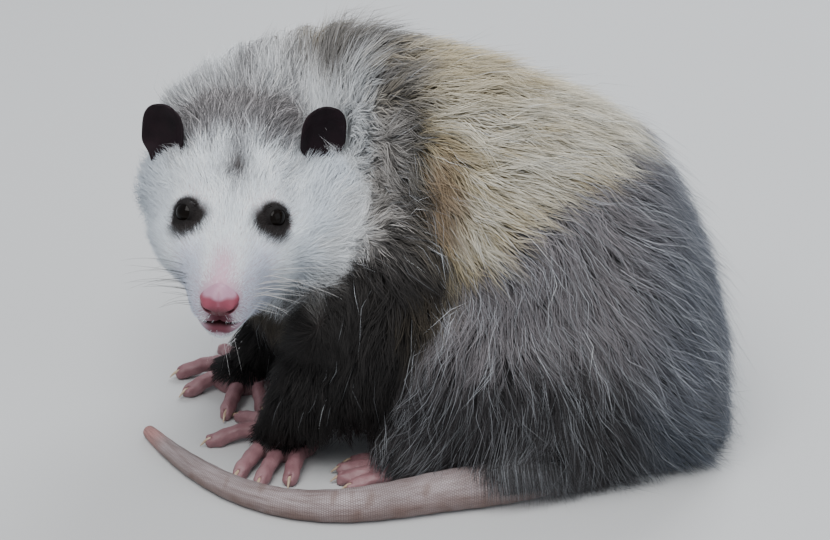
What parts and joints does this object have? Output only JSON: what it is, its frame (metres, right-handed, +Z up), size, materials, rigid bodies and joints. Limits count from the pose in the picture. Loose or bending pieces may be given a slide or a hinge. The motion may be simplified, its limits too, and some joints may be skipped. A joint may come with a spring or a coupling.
{
  "type": "opossum",
  "caption": "Still, life-size wild opossum sitting hunched with its head turned to its left and its bare tail laid forward on the floor.",
  "frame": {"origin": "centre of the whole model's base, at floor level", "axes": "+Z up; the body lies along X with the head at -X; -Y is the side the face looks to, which is the animal's left"},
  "size_m": [0.3112, 0.2012, 0.212],
  "materials": {
    "face_fur": "short white fur",
    "body_fur": "long grizzled fur",
    "dark_fur": "near-black fur",
    "pink_skin": "bare pink skin",
    "tail_skin": "bare scaly skin",
    "ear_skin": "thin black skin",
    "eye": "wet glossy black",
    "claw": "pale horn"
  },
  "bodies": {
    "root": {"head": "face_fur", "nose": "pink_skin", "eye_left": "eye", "eye_right": "eye", "ear_left": "ear_skin", "ear_right": "ear_skin", "neck": "body_fur", "chest": "body_fur", "rump": "body_fur", "thigh_left": "body_fur", "thigh_right": "body_fur", "foreleg_left": "dark_fur", "foreleg_right": "dark_fur", "tail_root": "tail_skin", "tail_base": "tail_skin", "tail_middle": "tail_skin", "tail_fore": "tail_skin", "tail_end": "tail_skin", "forefoot_left": "pink_skin", "claw_forefoot_left_1": "claw", "claw_forefoot_left_2": "claw", "claw_forefoot_left_3": "claw", "claw_forefoot_left_4": "claw", "claw_forefoot_left_5": "claw", "forefoot_right": "pink_skin", "claw_forefoot_right_1": "claw", "claw_forefoot_right_2": "claw", "claw_forefoot_right_3": "claw", "claw_forefoot_right_4": "claw", "claw_forefoot_right_5": "claw", "hindfoot_left": "pink_skin", "claw_hindfoot_left_2": "claw", "claw_hindfoot_left_3": "claw", "claw_hindfoot_left_4": "claw", "claw_hindfoot_left_5": "claw", "hindfoot_right": "pink_skin", "claw_hindfoot_right_2": "claw", "claw_hindfoot_right_3": "claw", "claw_hindfoot_right_4": "claw", "claw_hindfoot_right_5": "claw"}
  },
  "joints": []
}
